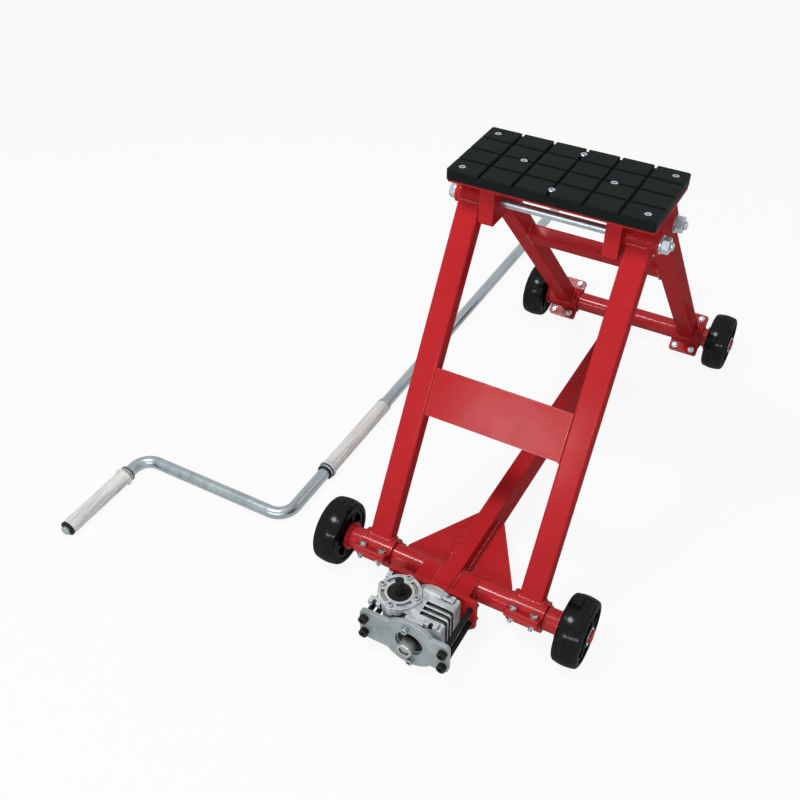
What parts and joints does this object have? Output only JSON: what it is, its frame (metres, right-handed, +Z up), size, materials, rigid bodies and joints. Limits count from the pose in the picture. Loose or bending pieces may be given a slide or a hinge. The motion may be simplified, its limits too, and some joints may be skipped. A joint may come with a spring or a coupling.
{
  "type": "portable car lift",
  "caption": "Wheeled screw-driven car lift with folding leg frames, a grooved rubber load pad, a worm gearbox on the front axle and a loose crank beside it.",
  "frame": {"origin": "on the floor, in the lift's middle plane, under the middle of the load pad when raised", "axes": "+Z up, +Y along the central tube from the gearbox end to the far axle, +X along the axles to the right as seen from the gearbox end"},
  "size_m": [0.792, 1.3528, 0.547],
  "materials": {
    "red_paint": "gloss",
    "zinc": "bright zinc",
    "black_oxide": "satin",
    "cast_aluminium": "as cast",
    "pad_rubber": "matte",
    "wheel_plastic": "gloss",
    "tread": "semi gloss",
    "white_sleeve": "satin",
    "bronze": "machined",
    "steel": "machined"
  },
  "bodies": {
    "base": {"front_axle_tube": "red_paint", "front_spindles": "red_paint", "front_wheel_clips": "zinc", "gusset_plates": "red_paint", "central_tube": "red_paint", "gearbox_bracket": "red_paint", "gearbox_housing": "cast_aluminium", "gearbox_cover": "cast_aluminium", "gearbox_front_plate": "cast_aluminium", "gearbox_bolts": "black_oxide", "gearbox_nuts": "black_oxide", "input_flange": "cast_aluminium", "input_seal": "pad_rubber", "input_flange_screws": "zinc", "gearbox_face_screws": "zinc", "gearbox_bearings": "steel"},
    "worm": {"worm_shaft": "black_oxide"},
    "screw": {"lead_screw": "steel", "worm_wheel": "bronze"},
    "nut_slide": {"drive_nut": "bronze"},
    "front_frame": {"front_leg_left": "red_paint", "front_leg_right": "red_paint", "front_cross_plate": "red_paint", "front_saddles": "red_paint", "front_saddle_caps": "red_paint", "front_saddle_bolts": "zinc", "front_saddle_nuts": "zinc"},
    "platform": {"platform_plate": "red_paint", "rubber_pad": "pad_rubber", "pad_screws": "zinc", "platform_brackets": "red_paint", "platform_lugs": "red_paint", "pivot_bolts": "zinc", "pivot_nuts": "zinc", "pivot_washers": "zinc"},
    "rear_frame": {"rear_leg_left": "red_paint", "rear_leg_right": "red_paint", "rear_cross_bar": "red_paint", "rear_saddles": "red_paint", "rear_saddle_caps": "red_paint", "rear_saddle_bolts": "zinc", "rear_saddle_nuts": "zinc"},
    "rear_axle": {"rear_axle_tube": "red_paint", "rear_spindles": "red_paint", "rear_wheel_clips": "zinc", "inner_tube": "zinc"},
    "crank": {"crank_rod": "zinc", "crank_socket": "zinc", "crank_end_screw": "zinc"},
    "crank_grip": {"crank_grip_sleeve": "white_sleeve"},
    "crank_sleeve": {"crank_shaft_sleeve": "white_sleeve"},
    "front_roller_left": {"front_tyre_left": "tread", "front_wheel_left": "wheel_plastic"},
    "front_roller_right": {"front_tyre_right": "tread", "front_wheel_right": "wheel_plastic"},
    "rear_roller_left": {"rear_tyre_left": "tread", "rear_wheel_left": "wheel_plastic"},
    "rear_roller_right": {"rear_tyre_right": "tread", "rear_wheel_right": "wheel_plastic"}
  },
  "joints": [
    {"name": "front_fold", "type": "hinge", "parent": "base", "child": "front_frame", "pos_m": [0, -0.29316, 0.05], "axis": [-1, 0, 0], "range_deg": [0, 51.31]},
    {"name": "platform_level", "type": "hinge", "parent": "front_frame", "child": "platform", "pos_m": [0, -0.029, 0.495], "axis": [-1, 0, 0], "range_deg": [-51.31, 0]},
    {"name": "rear_fold", "type": "hinge", "parent": "platform", "child": "rear_frame", "pos_m": [0, 0.029, 0.495], "axis": [1, 0, 0], "range_deg": [0, 40.66]},
    {"name": "rear_axle_level", "type": "hinge", "parent": "rear_frame", "child": "rear_axle", "pos_m": [0, 0.43666, 0.05], "axis": [1, 0, 0], "range_deg": [-40.66, 0]},
    {"name": "nut_travel", "type": "slide", "parent": "base", "child": "nut_slide", "axis": [0, 1, 0], "range_m": [0, 0.43993]},
    {"name": "screw_spin", "type": "hinge", "parent": "base", "child": "screw", "pos_m": [0, -0.37816, 0.05], "axis": [0, 1, 0], "continuous": true},
    {"name": "worm_spin", "type": "hinge", "parent": "base", "child": "worm", "pos_m": [-0.0375, -0.37816, 0.05], "axis": [0, 0, 1], "continuous": true},
    {"name": "crank_lift", "type": "slide", "parent": "base", "child": "crank", "axis": [0, 0, 1], "range_m": [0, 0.3]},
    {"name": "crank_grip_spin", "type": "hinge", "parent": "crank", "child": "crank_grip", "pos_m": [-0.568, -0.464, 0.015], "axis": [0, 1, 0], "continuous": true},
    {"name": "crank_sleeve_spin", "type": "hinge", "parent": "crank", "child": "crank_sleeve", "pos_m": [-0.291, -0.164, 0.015], "axis": [0, 1, 0], "continuous": true},
    {"name": "front_roll_left", "type": "hinge", "parent": "base", "child": "front_roller_left", "pos_m": [-0.186, -0.29316, 0.05], "axis": [1, 0, 0], "continuous": true},
    {"name": "front_roll_right", "type": "hinge", "parent": "base", "child": "front_roller_right", "pos_m": [0.186, -0.29316, 0.05], "axis": [1, 0, 0], "continuous": true},
    {"name": "rear_roll_left", "type": "hinge", "parent": "rear_axle", "child": "rear_roller_left", "pos_m": [-0.176, 0.43666, 0.05], "axis": [1, 0, 0], "continuous": true},
    {"name": "rear_roll_right", "type": "hinge", "parent": "rear_axle", "child": "rear_roller_right", "pos_m": [0.176, 0.43666, 0.05], "axis": [1, 0, 0], "continuous": true}
  ],
  "couplings": [
    {"joint": "platform_level", "follows": "front_fold", "ratio": -1},
    {"joint": "rear_fold", "follows": "front_fold", "ratio": 0.79238},
    {"joint": "rear_axle_level", "follows": "front_fold", "ratio": -0.79238},
    {"joint": "nut_travel", "follows": "front_fold", "m_per_rad": 0.49118},
    {"joint": "worm_spin", "follows": "screw_spin", "ratio": -7.5}
  ]
}
